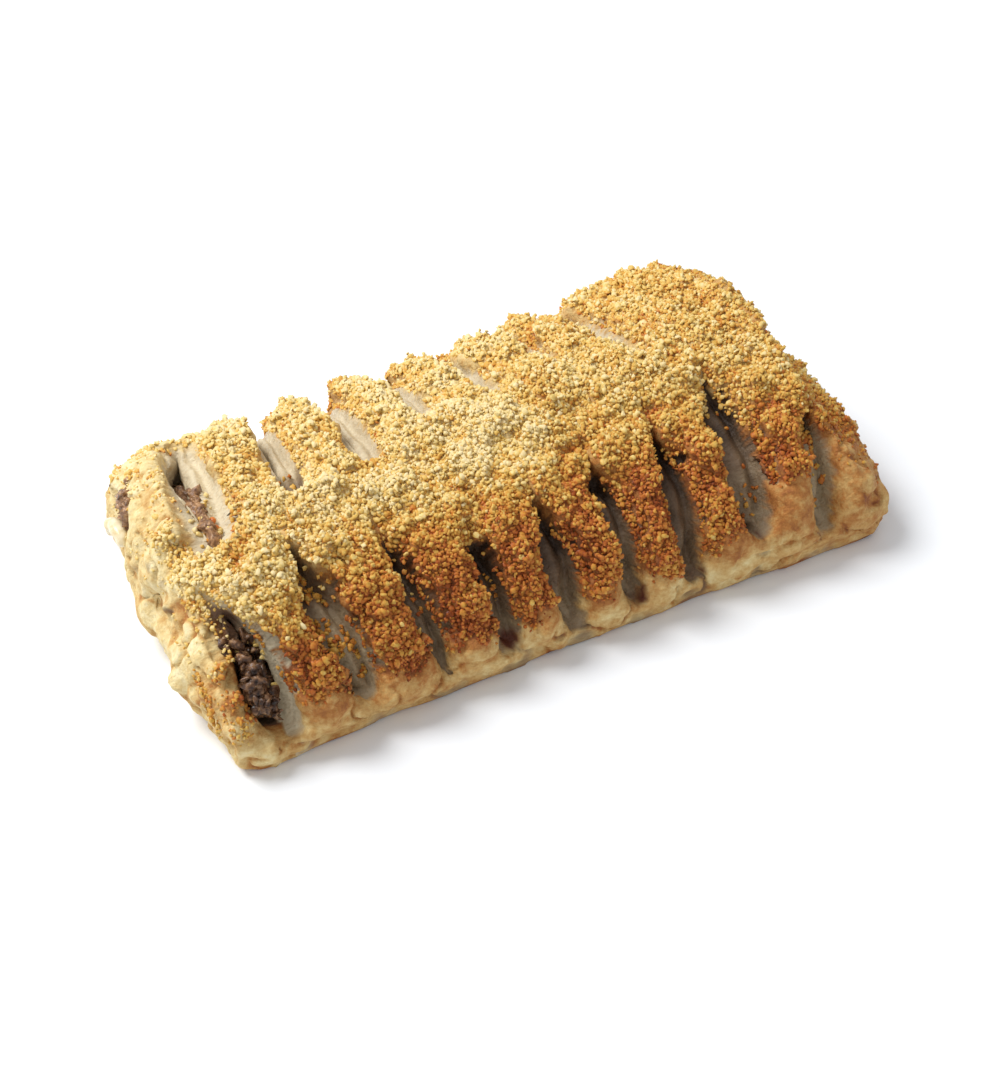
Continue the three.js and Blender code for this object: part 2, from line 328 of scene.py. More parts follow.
def open_share(turn, number):
    """1 along a slit, fading to 0 past its two ends."""
    sink = slit_sink(turn, number)
    starts, stops = SLIT_STARTS[number], SLIT_STOPS[number]
    return smooth_step(sink, starts - 0.1, starts + 0.12) * fade_out(sink, stops - 0.06, stops + 0.03)


def unevenness(points, size):
    """Smooth random values from -1 to 1 with features of this size in millimetres."""
    cell = points / size
    low = np.floor(cell).astype(int)
    part = cell - low
    part = part * part * (3 - 2 * part)
    total = np.zeros(len(points))
    for corner in np.ndindex(2, 2, 2):
        weight = np.prod(np.where(corner, part, 1 - part), axis=1)
        at = (low + corner) % 32
        total += weight * lattice[at[:, 0], at[:, 1], at[:, 2]]
    return total


print("slits at the crest:", np.round(slit_x(SLIT_PLACES, 0)))

# %% [markdown]
# ## Reading the ruler backwards
# For a point of the mesh the ruler has to answer the other way round: where on the loaf is it, and how
# far below the skin? The strips swell between their slits, so that swelling is counted in: a little on
# the plain solid, and more on the baked loaf, whose strips are round like fingers. A point a few
# millimetres deep is on a slit's wall.

# %% Place and depth of a point
# Share of the half length where the end faces begin, and how far they swell, in mm
LAST_RING = 0.985
END_SWELL = 3.7
# How far a strip stands out and over what width its edges are rounded: of the solid and of the baked loaf
STRIP_PUFF = 2.4
STRIP_ROUND = 5
FINGER_PUFF = 4.4
FINGER_ROUND = 6.5


def arch(lip, reach):
    """Round section of a strip: 0 at its lip and 1 further than reach from it."""
    to_edge = 1 - np.clip(lip / reach, 0, 1)
    return np.sqrt(1 - to_edge**2)


def solid_swell(x, turn):
    """How far a strip of the solid stands out of the plain skin."""
    sink = sink_of(turn)
    flank = smooth_step(sink, 0.1, 0.4) * fade_out(sink, 0.85, 1)
    across, _, number = nearest_slit(x, turn)
    return STRIP_PUFF * flank * (arch(np.abs(across) - SLIT_WIDTHS[number] / 2, STRIP_ROUND) - 0.75)


def baked_swell(x, turn):
    """How far a baked strip stands out of the plain skin."""
    _, lip, number = nearest_slit(x, turn)
    puff = FINGER_PUFF * np.where(number < FRONT_SLITS, 1, 0.7)
    return puff * open_share(turn, number) * (arch(lip, FINGER_ROUND) - 0.85)


def swelling(points):
    """1 on the plain skin, less inside, and the turn of each point."""
    wide, tall = section(points[:, 0])
    across = np.abs(points[:, 1] / wide) ** (1 / REACH_POWER)
    over = np.maximum(points[:, 2] / tall, 0) ** (1 / RISE_POWER)
    return np.hypot(across, over), np.arctan2(over, -np.sign(points[:, 1]) * across)


def ripple(points):
    """The slow unevenness of the dough, in millimetres."""
    x, y, z = points.T
    broad = np.sin(0.11 * x + 0.21 * z + 0.6) * np.cos(0.13 * y - 0.05 * x)
    fine = np.sin(0.37 * x - 0.29 * y + 1.9) * np.cos(0.31 * y + 0.43 * z)
    return 0.42 * broad + 0.28 * fine


def loaf_place(points, swell=baked_swell):
    """Turn round the loaf and depth below the swollen skin, for points in millimetres."""
    size, turn = swelling(points)
    slope = np.zeros(len(points))
    for axis in np.eye(3)[1:] * 0.2:
        slope += ((swelling(points + axis)[0] - swelling(points - axis)[0]) / 0.4) ** 2
    side_depth = (1 - size) / np.sqrt(slope + 1e-6) + swell(points[:, 0], turn) + ripple(points)
    end_depth = HALF_LENGTH * LAST_RING + END_SWELL * (1 - np.clip(size, 0, 1) ** 2.5) - np.abs(points[:, 0])
    return turn, np.minimum(side_depth, end_depth)


test = skin(np.array([10.0]), np.array([0.8]))
print("a point of the skin lies", round(loaf_place(test)[1][0], 2), "mm below the swollen one")

# %% [markdown]
# ## Where crumbs lie and where the oven browned
# Crumbs cover the crest and the strips, stop a little above the foot and leave the two end bands nearly
# bare. The crest stays pale gold, since steam kept it moist, and the front strips brown towards their
# lower ends. Both are written once, as maps over the loaf, and used by the crust and by the crumbs.

# %% Crumb cover and browning maps
# Sink at which the crumbs stop, and spots of the bare left band where they lie thick, with their reach in mm
CRUMB_EDGE = 0.88
SPRINKLED_SPOTS = (((-72, -33, 17), 12), ((-69, -9, 28), 11))
# Browning of crest and flanks, sinks where it starts in front and behind, tan of bare skin
CREST_BROWN = 0.2
FLANK_BROWN = 0.45
BROWNS_FROM = (0.17, 0.6)
BARE_TAN = 0.16
# Where the front left corner caught more heat: crumbs and skin
BROWN_CRUMBS_AT = (-74, -32, 16)
BROWN_SKIN_AT = (-73, -33, 16)


def crumb_cover(points, turn):
    """Share of the surface that crumbs cover, from 0 to 1."""
    x = points[:, 0]
    sink = sink_of(turn)
    ragged = 0.04 * unevenness(points, 6) + 0.03 * unevenness(points, 2.2)
    # Down a flank they stop above the foot, and higher up towards the right end
    lowest = CRUMB_EDGE - 0.05 * smooth_step(x, 26, 36) - 0.1 * smooth_step(x, 41, 47)
    flank = fade_out(sink + ragged, lowest - 0.06, lowest + 0.02)
    # To the left they stop at the first slit of each row
    over = smooth_step(turn, 1.25, 1.75)
    left_edge = slit_x(0, sink) * (1 - over) + slit_x(0.5, sink) * over
    left = smooth_step(x + 60 * ragged, left_edge - 2, left_edge + 3)
    # Beyond the last slit only the upper part of the end band has them
    right_edge = slit_x(8, sink)
    right = smooth_step(x, right_edge + 1, right_edge + 4)
    bare_right = 0.1 + 0.8 * smooth_step(sink + ragged, 0.42, 0.62)
    # The left band is sprinkled: thickly in two spots, and hardly at all low down behind
    sprinkled = 0.1 + 0.5 * smooth_step(unevenness(points, 5), -0.1, 0.3)
    for spot, reach in SPRINKLED_SPOTS:
        sprinkled += 0.7 * near(points, spot, 0.3 * reach, reach)
    sprinkled *= 1 - 0.8 * (x < -72) * smooth_step(turn, 1.7, 2)
    return flank * np.maximum(left, sprinkled) * (1 - right * bare_right) * (1 - 0.8 * (x > 74))


def browning_and_shade(points, turn):
    """How far the oven browned the crumbs, plus painted shade over the right half: 0 is pale cream and 1
    nearly charred.
    """
    x = points[:, 0]
    # Flanks brown downwards, later towards the left end and less towards the right one
    start = np.where(turn < math.pi / 2, *BROWNS_FROM) + 0.2 * smooth_step(-x, 36, 60)
    flank = smooth_step(sink_of(turn), start, start + 0.4)
    full = FLANK_BROWN - 0.09 * smooth_step(x, 22, 42) - 0.06 * smooth_step(x, 50, 62)
    # The middle of a strip stands out furthest and browns most, the left band least
    strip = np.clip(np.abs(nearest_slit(x, turn)[0]) / 7, 0, 1)
    flank_brown = full * flank * (0.82 + 0.18 * strip) * (1 - 0.6 * fade_out(x, -74, -64))
    # Towards the right the crest is painted darker: painted shade that falls there
    crest = CREST_BROWN + 0.1 * smooth_step(x, -5, 35) + 0.05 * smooth_step(x, 58, 68) * (1 - flank)
    patches = 0.07 * unevenness(points, 14) + 0.06 * unevenness(points, 5)
    return crest + flank_brown + 0.18 * near(points, BROWN_CRUMBS_AT, 3, 10) + patches


def skin_tan(points, turn):
    """How brown the bare skin is: pale on the left band, tan along the foot and at the right end."""
    x = points[:, 0]
    sink = sink_of(turn)
    spots = 0.1 * unevenness(points, 7) + 0.08 * unevenness(points, 2.5)
    bare = BARE_TAN + 0.2 * smooth_step(x, -72, -58) + 0.12 * smooth_step(x, 44, 66) + spots
    bare += 0.1 * fade_out(x, -56, -48) * smooth_step(sink, 0.82, 0.92)
    bare += 0.22 * near(points, BROWN_SKIN_AT, 2, 16)
    # The lower ends of the strips are nearly as brown as their crumbs, but not those of the two end bands
    edge = 0.9 + 0.03 * unevenness(points, 5)
    strip_end = fade_out(sink, edge - 0.03, edge + 0.05) * smooth_step(x, -70, -60)
    strip_end *= 1 - 0.8 * smooth_step(x, slit_x(8, sink), slit_x(8, sink) + 4)
    return bare * (1 - strip_end) + (browning_and_shade(points, turn) - 0.04) * strip_end


sample = skin(np.full(5, 10.0), np.linspace(1.57, 0.3, 5))
print("browning down a strip:", np.round(browning_and_shade(sample, np.linspace(1.57, 0.3, 5)), 2))

# %% [markdown]
# ## Mesh helpers
# A modifier is added, set and applied in one go, as one would by hand. Points are read and written as one
# array in millimetres, which is quick even for a hundred thousand of them.

# %% Helpers for pieces
def select_only(piece):
    """Select one piece alone and make it active."""
    bpy.ops.object.select_all(action="DESELECT")
    piece.select_set(True)
    bpy.context.view_layer.objects.active = piece


def apply_modifier(piece, kind, **settings):
    select_only(piece)
    modifier = piece.modifiers.new(kind.title(), kind)
    for name, value in settings.items():
        setattr(modifier, name, value)
    bpy.ops.object.modifier_apply(modifier=modifier.name)


def copy_of_solid(node, name):
    """A merged copy of a solid, as a new piece."""
    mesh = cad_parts[node].data.copy()
    mesh.materials.clear()
    piece = bpy.data.objects.new(name, mesh)
    bpy.context.scene.collection.objects.link(piece)
    select_only(piece)
    bpy.ops.object.mode_set(mode="EDIT")
    bpy.ops.mesh.select_all(action="SELECT")
    bpy.ops.mesh.remove_doubles(threshold=0.001 * MM)
    bpy.ops.object.mode_set(mode="OBJECT")
    return piece


def read_points(mesh, what="co"):
    values = np.zeros(len(mesh.vertices) * 3, np.float32)
    if what == "co":
        mesh.vertices.foreach_get("co", values)
        return values.reshape(-1, 3).astype(float) / MM
    mesh.vertex_normals.foreach_get("vector", values)
    return values.reshape(-1, 3).astype(float)


def write_points(mesh, points):
    mesh.vertices.foreach_set("co", (points * MM).astype(np.float32).ravel())
    mesh.update()


def write_values(mesh, name, values):
    attribute = mesh.attributes.get(name) or mesh.attributes.new(name, "FLOAT", "POINT")
    attribute.data.foreach_set("value", values.astype(np.float32))


def ride_and_slot(piece, node=None):
    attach(piece, "root")
    if node:
        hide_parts(node)
    print(piece.name, "has", sum(len(face.vertices) - 2 for face in piece.data.polygons), "triangles")


# %% [markdown]
# ## The crust
# The crust is the solid's own shape after baking: the slits gape, and the strips between them have puffed
# up into round fingers. Both could be sculpted, but the ruler already knows every slit. A voxel remesh
# gives a copy of the solid an even net of faces, and the place of each point on the loaf is read off
# once.

# %% Crust net
CRUST_VOXEL = 0.6

crust = copy_of_solid("pastry", "crust")
apply_modifier(crust, "REMESH", mode="VOXEL", voxel_size=CRUST_VOXEL * MM)
apply_modifier(crust, "SMOOTH", factor=0.5, iterations=2)

points = read_points(crust.data)
turn, depth = loaf_place(points, solid_swell)
plain = solid_swell(points[:, 0], turn)
across, _, number = nearest_slit(points[:, 0], turn)
first_slit = number == 0
in_front = number < FRONT_SLITS
along_slit = open_share(turn, number)
# 1 on the strips, fading to 0 at the two ends and at the foot
side = fade_out(np.abs(points[:, 0]), 68, 73) * smooth_step(points[:, 2], 1, 4)
print("crust points:", len(points))

# %% [markdown]
# ## Gaping slits
# Baking opens a slit at its lips, while below it closes to a groove. What lies between the middle of a
# slit and its lip is drawn wider or narrower in proportion, and the edge of the strip makes room for it.
# The grooves of the front row slant to the left, under the strips. Only the first slit stays open down to
# the meat.

# %% Open the slits
# Half width added at the lips, width of strip that makes room, and lean of the solid's slits per mm of depth
GAPE = 0.2
LIP_REACH = 3.5
SLIT_LEAN = 0.3
# How far a groove slants to the left, as a share of its half width, and the most that a slit is stretched
SLANT = 0.6
STRETCH = 4

leant = across + SLIT_LEAN * np.clip(depth, 0, 12)
# Deep in the widest back slit the wall keeps one section, so that no hole opens at its far end
sink = slit_sink(turn, number)
widest_back = (number == FRONT_SLITS) & (depth > 2)
sink = np.where(widest_back, np.clip(sink, -0.15, 0.5), sink)
narrow = half_width(number, sink, 1.6, 0.6) * np.clip(0.9 - 0.055 * depth, 0.2, 1) + 0.01
baked = baked_half_width(number, sink)
closed = np.clip(depth / np.where(in_front, 6, 4), 0, 1)
wide = (baked + GAPE) * (1 - np.where(first_slit, 0.1, 0.97) * closed)
away = np.abs(leant)
in_slit = away * np.minimum(wide / narrow, STRETCH)
on_strip = wide + (away - narrow) * LIP_REACH / (LIP_REACH + wide - narrow)
moved = np.where(away < narrow, in_slit, np.where(away < wide + LIP_REACH, on_strip, away)) - away
weight = np.where((moved < 0) & ~first_slit, 1, along_slit) * side
moved = np.sign(leant) * moved - SLANT * baked * closed * (in_front & ~first_slit)
fades_at = np.where(first_slit, 6, 13)
points[:, 0] += moved * weight * fade_out(depth, fades_at, fades_at + 5)
print("drawn sideways by at most", round(np.abs(moved).max(), 2), "mm")

# %% [markdown]
# ## Puffed strips
# The skin of each strip is evened out and raised by what a baked strip stands higher than a plain one,
# less and less with depth. Left of the first slit the dough slopes down to the meat instead.

# %% Puff the strips
SLOPE = 3


def out_of_loaf(points, turn):
    """Unit vectors out of the loaf, tilted up a little at the feet."""
    return outward(points[:, 0], np.clip(turn, 0.05, math.pi - 0.05))


even = depth - depth * smooth_step(depth, 0.2, 1.6)
puffed = (baked_swell(points[:, 0], turn) - plain) * fade_out(depth, 0, 9)
leaning = first_slit & (across < 0) & (turn < math.pi / 2)
sloped = SLOPE * leaning * along_slit * smooth_step(across, -10, -3.5) * (1 - np.clip(depth / 9, 0, 1))
sloped *= smooth_step(sink_of(turn), 0.42, 0.62) * smooth_step(points[:, 2], 3, 8)
raised = side * (even + puffed) - sloped
points += out_of_loaf(points, turn) * raised[:, None]
write_points(crust.data, points)
print("raised by at most", round(raised.max(), 2), "mm")

# %% [markdown]
# ## Lips of the slits
# The baked slits reach further than those of the solid, with blunt dark ends, so the skin that is left
# there is pressed down. So is the fold above the last slit, where the hump of the right end stops.
# Smoothing passes follow: a short one for all lips, and long ones for the seam at the left end and for
# the left lip of the first slit, where the dough slopes down to the meat.

# %% Slit ends and lips
# How far skin is pressed down in the slits of each row, and how far hump and fold stand out and dip, in mm
CARVE_FRONT, CARVE_BACK = 4.5, 3
HUMP_RISE = 1.3
FOLD_DIP = 3.4
# Middle and size of the patch that is smoothed on the left end, and rounds of smoothing
LEFT_SEAM = (-76.6, -6, 18.4)
SEAM_REACH = 9
LIP_ROUNDS, SEAM_ROUNDS, SLOPE_ROUNDS = 4, 60, 30


def right_fold(points, turn):
    """Dip of the fold above the last slit, where the hump ends and the end band begins, in millimetres."""
    sink = slit_sink(turn, FRONT_SLITS - 1)
    behind = points[:, 0] - slit_x(SLIT_PLACES[FRONT_SLITS - 1], sink)
    hump = HUMP_RISE * smooth_step(behind, -9, -3) * fade_out(behind, -2, 0.5)
    dip = FOLD_DIP * smooth_step(behind, -1.5, 1) * fade_out(behind, 2, 8)
    return (dip - hump) * fade_out(sink, 0.4, 0.55)


turn, depth = loaf_place(points)
across, lip, number = nearest_slit(points[:, 0], turn)
carve = np.where(number < FRONT_SLITS, CARVE_FRONT, CARVE_BACK)
pressed = carve * np.clip(-lip / 1.2, 0, 1) * side + right_fold(points, turn)
pressed *= fade_out(depth, 1, 3)
points -= out_of_loaf(points, turn) * pressed[:, None]
write_points(crust.data, points)


def smooth_lips(chosen, rounds):
    """Smooth the chosen points of the crust."""
    lips = crust.vertex_groups.new(name="lips")
    lips.add(np.flatnonzero(chosen).tolist(), 1.0, "REPLACE")
    apply_modifier(crust, "SMOOTH", factor=0.5, iterations=rounds, vertex_group="lips")
    crust.vertex_groups.clear()


first_left = (number == 0) & (across < 0) & (turn < math.pi / 2)
smooth_lips((np.abs(lip) < 2.5) & (depth < 5) & (side > 0.3), LIP_ROUNDS)
smooth_lips(np.linalg.norm(points - LEFT_SEAM, axis=1) < SEAM_REACH, SEAM_ROUNDS)
smooth_lips((np.abs(lip) < 3.5) & (depth < 6) & first_left, SLOPE_ROUNDS)
points = read_points(crust.data)
print("points pressed down:", int((pressed > 0.5).sum()))

# %% [markdown]
# ## Relief of the crust
# Now the skin gets its small relief: blisters on bare dough, the edges of thin layers along the foot, the
# folds of the left end, and under the crumbs a bed that heaves in clumps.

# %% Crust relief
# Heights in mm: bed below the crumbs, their clumps, and on bare dough the blisters, creases and layer edges
CRUMB_BED = 0.8
CLUMP_HEAVE = 1.3
BLISTER = 0.6
WRINKLE = 1.1
LAYER_LINE = 0.3

# Bulges and dents of the left end: place, reach and height in mm
FOLDS = (
    ((-75, -20, 9), 10, 2.4),
    ((-75, -33, 12), 9, 0.8),
    ((-76, 3, 8), 9, 1.6),
    ((-76, -3, 16), 6, -1.8),
    ((-75, -14, 17), 4, -1.2),
    ((-76.5, -9.8, 18), 2.2, -2),
    ((-75.2, 17, 21), 6, -1.6),
    ((-73, 30, 22), 8, 1.2),
)


def clumps(points):
    """Rounded clumps of crumbs, a few millimetres across, with creases between: above 0 is a clump."""
    broad, fine = np.abs(unevenness(points, 9)), np.abs(unevenness(points + 40, 2.4))
    return 2 * broad + 1.7 * np.abs(unevenness(points, 4.6)) + fine - 1.25


def wrinkles(points, turn):
    """1 along the thin creases of the bare dough, at the ends and along the foot, and 0 between them."""
    stretched = points * [0.45, 1, 1]
    where = np.maximum(smooth_step(np.abs(points[:, 0]), 62, 69), smooth_step(sink_of(turn), 0.9, 0.96))
    return where * fade_out(np.abs(unevenness(stretched + 9, 4)), 0, 0.14)


normals = read_points(crust.data, "normal")
turn, depth = loaf_place(points)
depth -= right_fold(points, turn)
outer = fade_out(depth, 0.9, 2.2)
cover = crumb_cover(points, turn)
bare = outer * (1 - cover) * smooth_step(points[:, 2], 0.4, 2)
layered = points * [0.3, 1, 1]
lines = unevenness(layered, 1.5) + 0.6 * unevenness(layered + 50, 0.9)
flaky = smooth_step(sink_of(turn), 0.8, 0.9)
lift = BLISTER * (unevenness(points, 6) + 0.7 * unevenness(points, 2.6) + 0.35 * unevenness(points, 1.3))
lift = bare * (lift - WRINKLE * wrinkles(points, turn) + LAYER_LINE * lines * flaky)
lift += outer * cover * (CLUMP_HEAVE * clumps(points) - CRUMB_BED)
for spot, reach, height in FOLDS:
    lift += outer * height * near(points, spot, 0, reach)
write_points(crust.data, points + normals * lift[:, None])
print("relief from", round(lift.min(), 2), "to", round(lift.max(), 2), "mm")

# %% [markdown]
# ## Spending faces where they show
# The underside and the hidden room round the meat are smooth and out of sight, so they keep only a small
# share of their faces. Crumbs will hide the crust below them, so it keeps about an eighth. The rest keeps
# its fine net.

# %% Thin the hidden faces
# Between these two x, in mm, the slits don't reach the room round the meat
CLOSED_FROM, CLOSED_TO = -38, 68
# Faces deeper than this are out of sight between those two and anywhere, in mm
HIDDEN_DEPTH, OPEN_DEPTH = 8.9, 14
# Shares of their faces that hidden and crumbed parts keep
HIDDEN_SHARE = 0.04
CRUMBED_SHARE = 0.13


def thin_faces(choose, share):
    """Collapse part of the crust's faces, chosen by their middles, to a share of their number."""
    centres = np.zeros(len(crust.data.polygons) * 3, np.float32)
    crust.data.polygons.foreach_get("center", centres)
    chosen = choose(centres.reshape(-1, 3).astype(float) / MM)
    select_only(crust)
    bpy.ops.object.mode_set(mode="EDIT")
    bpy.ops.mesh.select_mode(type="FACE")
    bpy.ops.mesh.select_all(action="DESELECT")
    bpy.ops.object.mode_set(mode="OBJECT")
    crust.data.polygons.foreach_set("select", chosen)
    bpy.ops.object.mode_set(mode="EDIT")
    bpy.ops.mesh.decimate(ratio=share)
    bpy.ops.object.mode_set(mode="OBJECT")
    print("thinned", int(chosen.sum()), "faces, the crust now has", len(crust.data.polygons))


def hidden_faces(centres):
    """The underside, and what lies deep."""
    below = loaf_place(centres)[1]
    closed = (centres[:, 0] > CLOSED_FROM) & (centres[:, 0] < CLOSED_TO)
    return (centres[:, 2] < 0.5) | (below > OPEN_DEPTH) | (closed & (below > HIDDEN_DEPTH))


def crumbed_faces(centres):
    """Skin under a closed cover of crumbs."""
    turn, below = loaf_place(centres)
    lip = nearest_slit(centres[:, 0], turn)[1]
    return (crumb_cover(centres, turn) > 0.85) & (below < 2.6) & (lip > 1)


thin_faces(hidden_faces, HIDDEN_SHARE)
thin_faces(crumbed_faces, CRUMBED_SHARE)
select_only(crust)
bpy.ops.object.shade_smooth()

# %% [markdown]
# ## Maps on the crust
# The material needs to know how brown the skin is and which points lie inside a slit. Both are numbers on
# every point of the mesh, worked out from the ruler.

# %% Crust maps
points = read_points(crust.data)
turn, depth = loaf_place(points)
depth -= right_fold(points, turn)
across, lip, number = nearest_slit(points[:, 0], turn)
cover = crumb_cover(points, turn)
on_slope = (number == 0) & (across < 0)

# Brown skin: bare dough with darker creases, and below the crumbs about their own colour
bare_brown = skin_tan(points, turn) + 0.3 * wrinkles(points, turn)
bare_brown += 0.25 * on_slope * smooth_step(depth, 1, 4)
crumbed = smooth_step(cover, 0.2, 0.6) * smooth_step(points[:, 0], -71, -65)
brown = bare_brown * (1 - crumbed) + (browning_and_shade(points, turn) + 0.1) * crumbed
underside = points[:, 2] < 0.5
write_values(crust.data, "brown", np.clip(brown + 0.2 * underside, 0, 1))

# Inside: what lies deeper than the skin, near a slit or far below
inside = smooth_step(depth - 1.4 * cover * (lip > -0.4) - 3 * on_slope, 0.8, 2.0)
inside *= np.maximum(fade_out(lip, 2, 5), smooth_step(depth, 3.5, 6))
write_values(crust.data, "inside", inside)
print("points of skin:", int((inside < 0.5).sum()), "and of slit walls:", int((inside >= 0.5).sum()))

# %% [markdown]
# ## Walls and burns
# The walls of the front slits are dark grey brown at the top and paler towards the foot: partly moist
# dough and gravy, partly painted shade, which lies deep in these narrow slits under the strips. Deeper
# walls are painted darker still: painted shade, and gravy near the meat. Those of the back row stay pale.
# The first and the last slit of the front row and the widest of the back row have shades of their own: the
# right walls of the first and of the widest slit are painted paler, painted light where they face the lamp.
# Gravy burnt on in a few slits, and the seam of the left end has dark spots; the one in a pit of the seam
# is painted shade.

# %% Wall and burn maps
# How dark a wall is, from pale dough at 0 to nearly black at 1: dough soaked with gravy, and painted shade
PALE_WALL = 0.1
DARK_WALL = 0.95
LAST_WALL = 0.4
# The right walls of the first and of the widest back slit are painted paler: painted light where they face
# the lamp
FIRST_LEFT_WALL, FIRST_RIGHT_WALL = 0.9, 0.08
WIDEST_RIGHT_WALL = -0.1

# Gravy that ran out and burnt in a slit: place in mm, reach along the pasty and down the flank, strength
GRAVY_BURNS = (
    ((-67.6, -20, 22), 4, 9, 0.8),
    ((-15.6, -37.5, 6.5), 3, 3.4, 1),
    ((13.2, -40.3, 8.2), 3, 4, 1),
    ((27.3, -40.7, 8), 3, 3.6, 1),
    ((41.2, -40.5, 11), 2.4, 3, 0.8),
)

# Dark spots along the seam of the left end, the first painted shade in a pit of the seam: y and z in mm,
# reach and strength
SEAM_SPOTS_AND_PIT_SHADE = ((-9.8, 18, 2.2, 0.8), (-5.6, 22.4, 1.5, 0.4), (-1, 23, 1.4, 0.4), (6, 17, 1.8, 0.4))

sink = sink_of(turn)
# Front walls: painted shade, darkest at the top under the strips, over moist dough and gravy
front_wall = DARK_WALL - 0.33 * smooth_step(sink - SLIT_STARTS[number], 0.22, 0.52)
# The second slit of the front row is paler and the seventh darker, and so is the second of the back row
front_wall += 0.1 * (number == 6) - 0.2 * (number == 1)
back_wall = PALE_WALL + 0.6 * (number == FRONT_SLITS + 1) * fade_out(sink, 0.14, 0.3)
shade = np.where(number < FRONT_SLITS, front_wall, back_wall)
# Painted light on the right walls of the first slit and the widest back slit, which face the lamp
shade = np.where(number == 0, np.where(across < 0, FIRST_LEFT_WALL, FIRST_RIGHT_WALL), shade)
shade = np.where((number == FRONT_SLITS) & (across > 0), WIDEST_RIGHT_WALL, shade)
shade = np.where(number == FRONT_SLITS - 1, LAST_WALL, shade)
# Deeper walls are darker: painted shade, and gravy near the meat
shade += 0.3 * smooth_step(depth, 3, 10) + 0.1 * unevenness(points, 2)
write_values(crust.data, "wall_soak_and_shade", np.clip(shade, 0, 1))

burnt_and_pit_shade = np.zeros(len(points))
for spot, reach, drop, strength in GRAVY_BURNS:
    away = np.linalg.norm((points - spot) / [reach, drop, drop], axis=1)
    burnt_and_pit_shade = np.maximum(burnt_and_pit_shade, strength * fade_out(away, 0.5, 1))
burnt_and_pit_shade *= smooth_step(-lip, -0.8, 0.2)
# Spots along the seam; the first is painted shade in the seam's pit
for y, z, reach, strength in SEAM_SPOTS_AND_PIT_SHADE:
    away = np.hypot(points[:, 1] - y, points[:, 2] - z) + 0.6 * unevenness(points, 1.5)
    burnt_and_pit_shade = np.maximum(burnt_and_pit_shade, strength * (points[:, 0] < -68) * fade_out(away, 0.4 * reach, reach))
write_values(crust.data, "burnt_and_pit_shade", burnt_and_pit_shade)
print("burnt points:", int((burnt_and_pit_shade > 0.2).sum()))

# %% [markdown]
# ## Baked puff pastry
# The skin is thin dry dough: cream where it is pale, tan to brown where the oven caught it, with small
# dark freckles and fine lines where layers end. Inside a slit the dough stayed moist, so its walls are
# grey beige, smoother and shinier, and browner near the meat. Their dark tones at the top of the front
# slits and deep down are also painted shade, and the paler right walls of the two widest slits painted light.

# %% Crust material
pastry, tree = new_material("baked_puff_pastry")
spot = add_node(tree, "TexCoord").outputs["Object"]
brown, inside, wall_soak_and_shade, burn_and_pit_shade = (
    add_node(tree, "Attribute", {"attribute_name": name}).outputs["Fac"]
    for name in ("brown", "inside", "wall_soak_and_shade", "burnt_and_pit_shade")
)
# Skin: browner and paler mottles round the brown of the map
mottle = add_node(tree, "TexNoise", None, {
    "Vector": spot, "Scale": grain(2.4), "Detail": 7, "Roughness": 0.72,
})
shade = add_node(tree, "MapRange", None, {
    "Value": mottle.outputs[0], "From Min": 0.3, "From Max": 0.7, "To Min": -0.2, "To Max": 0.2,
})
baked = add_node(tree, "Math", {"operation": "ADD", "use_clamp": True}, {0: brown, 1: shade.outputs[0]})
crust_colour = add_node(tree, "ValToRGB", None, {"Fac": baked.outputs[0]}, [
    (0.0, "#f3e4b6"), (0.2, "#e7cf93"), (0.4, "#d0a866"),
    (0.6, "#b47737"), (0.8, "#8e5022"), (1.0, "#5a2c14"),
])
# Fine lines along the pasty, where layers of dough end
along = add_node(tree, "Mapping", None, {"Vector": spot, "Scale": (0.3, 1, 1)})
layers = add_node(tree, "TexNoise", None, {
    "Vector": along.outputs[0], "Scale": grain(0.8), "Detail": 3, "Roughness": 0.55,
})
layer_tint = add_node(tree, "ValToRGB", None, {"Fac": layers.outputs[0]}, [
    (0.3, "#cbb392"), (0.6, "#ffffff"),
])
lined = add_node(tree, "Mix", {"data_type": "RGBA", "blend_type": "MULTIPLY"}, {
    0: 0.22, 6: crust_colour.outputs[0], 7: layer_tint.outputs[0],
})
# Walls: moist dough, darker where gravy soaked it and with painted shade, then burnt gravy and the pit's
# painted shade on top
dough_and_shade_colour = add_node(tree, "ValToRGB", None, {"Fac": wall_soak_and_shade}, [
    (0.0, "#dccfb0"), (0.45, "#ab9878"), (0.75, "#78624a"), (1.0, "#3c2c1e"),
])
wall = add_node(tree, "Mix", {"data_type": "RGBA", "blend_type": "MULTIPLY"}, {
    0: 0.35, 6: dough_and_shade_colour.outputs[0], 7: layer_tint.outputs[0],
})
colour = add_node(tree, "Mix", {"data_type": "RGBA"}, {0: inside, 6: lined.outputs[2], 7: wall.outputs[2]})
stains_and_pit_shade = add_node(tree, "Mix", {"data_type": "RGBA"}, {0: burn_and_pit_shade, 6: colour.outputs[2], 7: linear("#5b2a14")})
# Dry skin is dull and moist walls shine a little, both over a fine relief
sheen = add_node(tree, "MapRange", None, {"Value": inside, "To Min": 0.72, "To Max": 0.45})
height = add_node(tree, "Math", {"operation": "ADD"}, {0: mottle.outputs[0], 1: layers.outputs[0]})
relief = add_node(tree, "Bump", None, {"Height": height.outputs[0], "Strength": 0.8, "Distance": 0.6 * MM})
skin_shader = add_node(tree, "BsdfPrincipled", None, {
    "Base Color": stains_and_pit_shade.outputs[2], "Roughness": sheen.outputs[0],
    "Normal": relief.outputs[0], "IOR": 1.45,
})
add_node(tree, "OutputMaterial", None, {"Surface": skin_shader.outputs[0]})
crust.data.materials.append(pastry)
ride_and_slot(crust, "pastry")

